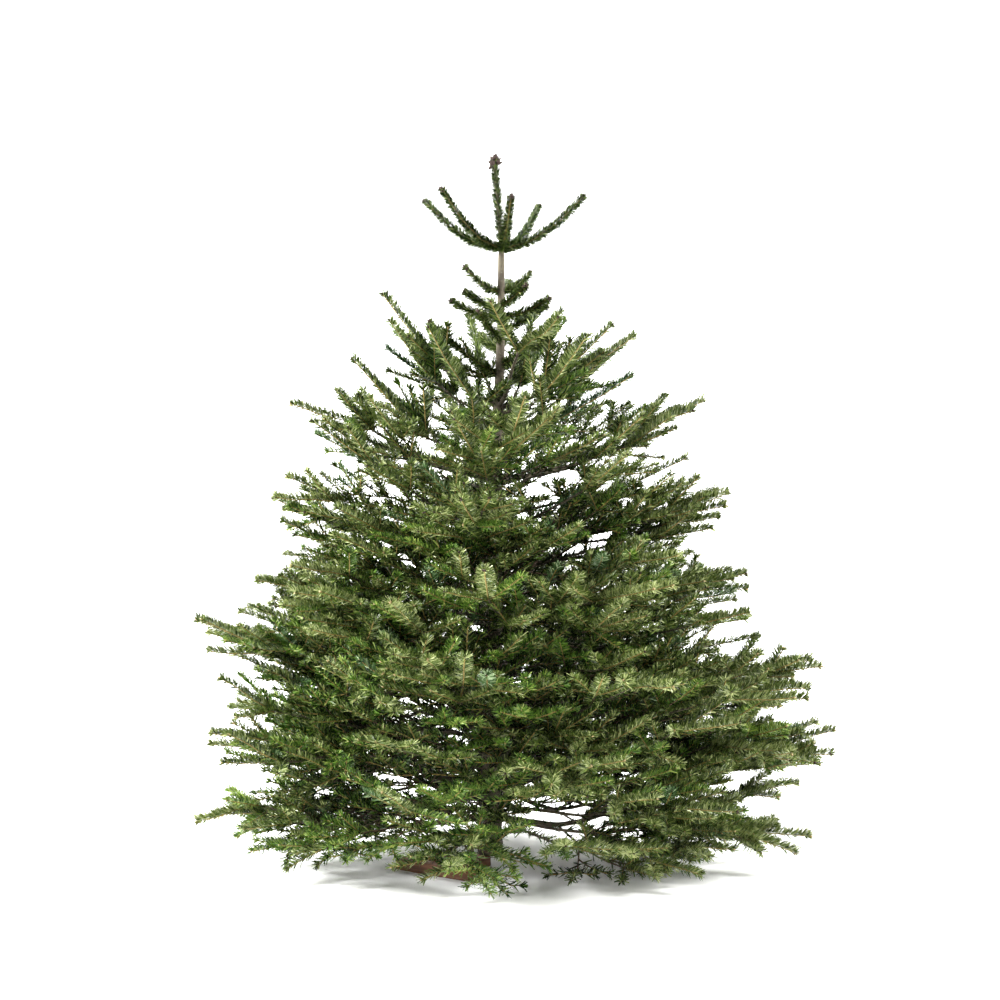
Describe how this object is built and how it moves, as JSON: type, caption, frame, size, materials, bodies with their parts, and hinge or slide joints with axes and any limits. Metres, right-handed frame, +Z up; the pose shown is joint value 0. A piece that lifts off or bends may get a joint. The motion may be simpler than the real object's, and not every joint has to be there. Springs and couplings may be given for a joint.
{
  "type": "cut fir tree on a wooden cross stand",
  "caption": "Cut fir kept as a Christmas tree: whorled boughs with fans of flat needles round a leaning, tapering trunk with a bare top stem, nailed upright on a plain wooden cross.",
  "frame": {"origin": "middle of the flat underside of the wooden cross, at floor level", "axes": "+Z up the trunk, -Y towards the tree's front, +X to the right seen from the front"},
  "size_m": [1.5356, 1.3233, 1.69],
  "materials": {
    "stand_wood": "rough sawn, stained reddish brown",
    "bark": "matt grey-brown bark",
    "needles": "satin green needles"
  },
  "bodies": {
    "root": {"stand": "stand_wood", "trunk": "bark", "leader_foliage": "needles", "bough_1_1": "bark", "bough_1_2": "bark", "bough_1_3": "bark", "bough_1_4": "bark", "bough_2_1": "bark", "bough_2_2": "bark", "bough_2_3": "bark", "bough_2_4": "bark", "bough_3_1": "bark", "bough_3_2": "bark", "bough_3_3": "bark", "bough_3_4": "bark", "bough_7_1": "bark", "bough_7_2": "bark", "bough_7_3": "bark", "bough_7_4": "bark", "foliage_1_1": "needles", "foliage_1_2": "needles", "foliage_1_3": "needles", "foliage_1_4": "needles", "foliage_2_1": "needles", "foliage_2_2": "needles", "foliage_2_3": "needles", "foliage_2_4": "needles", "foliage_3_1": "needles", "foliage_3_2": "needles", "foliage_3_3": "needles", "foliage_3_4": "needles", "foliage_4_1": "needles", "foliage_4_2": "needles", "foliage_4_3": "needles", "foliage_4_4": "needles", "foliage_4_5": "needles", "foliage_5_1": "needles", "foliage_5_2": "needles", "foliage_5_3": "needles", "foliage_5_4": "needles", "foliage_5_5": "needles", "foliage_6_1": "needles", "foliage_6_2": "needles", "foliage_6_3": "needles", "foliage_6_4": "needles", "foliage_6_5": "needles", "foliage_7_1": "needles", "foliage_7_2": "needles", "foliage_7_3": "needles", "foliage_7_4": "needles", "low_stem_shoot_1": "needles", "low_stem_shoot_2": "needles", "stem_shoot_1": "needles", "stem_shoot_2": "needles", "top_shoot_1": "needles", "top_shoot_2": "needles", "top_shoot_3": "needles", "top_shoot_4": "needles", "top_shoot_5": "needles"}
  },
  "joints": []
}
